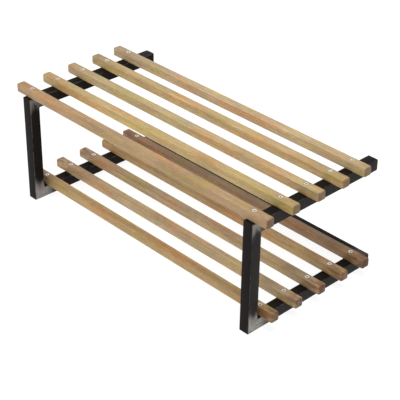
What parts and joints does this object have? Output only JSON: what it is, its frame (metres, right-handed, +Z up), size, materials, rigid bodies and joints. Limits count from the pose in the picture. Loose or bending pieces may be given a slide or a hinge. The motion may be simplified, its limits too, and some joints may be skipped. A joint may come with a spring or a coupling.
{
  "type": "slatted shoe bench",
  "caption": "Low open rack or bench: wooden slats screwed in an upper and a lower tier to C-shaped side frames of black square steel tube, joined by a back rail, for an entryway.",
  "frame": {"origin": "on the floor, under the middle of the overall length and depth", "axes": "+X along the slats, +Y from the legs at the front to the open back, +Z up"},
  "size_m": [0.75, 0.356, 0.27],
  "materials": {
    "oak": "oiled, with straight grain and eased edges",
    "black_steel": "black mill scale, ground bright at the welded corners",
    "zinc": "bright zinc plate",
    "black_plastic": "fine moulded grain"
  },
  "bodies": {
    "root": {"top_slat_1": "oak", "top_slat_2": "oak", "top_slat_3": "oak", "top_slat_4": "oak", "top_slat_5": "oak", "lower_slat_1": "oak", "lower_slat_2": "oak", "lower_slat_3": "oak", "lower_slat_4": "oak", "lower_slat_5": "oak", "left_leg": "black_steel", "left_bottom_bar": "black_steel", "left_top_bar": "black_steel", "left_end_plug": "black_plastic", "right_leg": "black_steel", "right_bottom_bar": "black_steel", "right_top_bar": "black_steel", "right_end_plug": "black_plastic", "back_rail": "black_steel", "top_screw_left_1": "zinc", "top_rivet_nut_left_1": "zinc", "top_screw_left_2": "zinc", "top_rivet_nut_left_2": "zinc", "top_screw_left_3": "zinc", "top_rivet_nut_left_3": "zinc", "top_screw_left_4": "zinc", "top_rivet_nut_left_4": "zinc", "top_screw_left_5": "zinc", "top_rivet_nut_left_5": "zinc", "top_screw_right_1": "zinc", "top_rivet_nut_right_1": "zinc", "top_screw_right_2": "zinc", "top_rivet_nut_right_2": "zinc", "top_screw_right_3": "zinc", "top_rivet_nut_right_3": "zinc", "top_screw_right_4": "zinc", "top_rivet_nut_right_4": "zinc", "top_screw_right_5": "zinc", "top_rivet_nut_right_5": "zinc", "lower_screw_left_1": "zinc", "lower_rivet_nut_left_1": "zinc", "lower_screw_left_2": "zinc", "lower_rivet_nut_left_2": "zinc", "lower_screw_left_3": "zinc", "lower_rivet_nut_left_3": "zinc", "lower_screw_left_4": "zinc", "lower_rivet_nut_left_4": "zinc", "lower_screw_left_5": "zinc", "lower_rivet_nut_left_5": "zinc", "lower_screw_right_1": "zinc", "lower_rivet_nut_right_1": "zinc", "lower_screw_right_2": "zinc", "lower_rivet_nut_right_2": "zinc", "lower_screw_right_3": "zinc", "lower_rivet_nut_right_3": "zinc", "lower_screw_right_4": "zinc", "lower_rivet_nut_right_4": "zinc", "lower_screw_right_5": "zinc", "lower_rivet_nut_right_5": "zinc"}
  },
  "joints": []
}
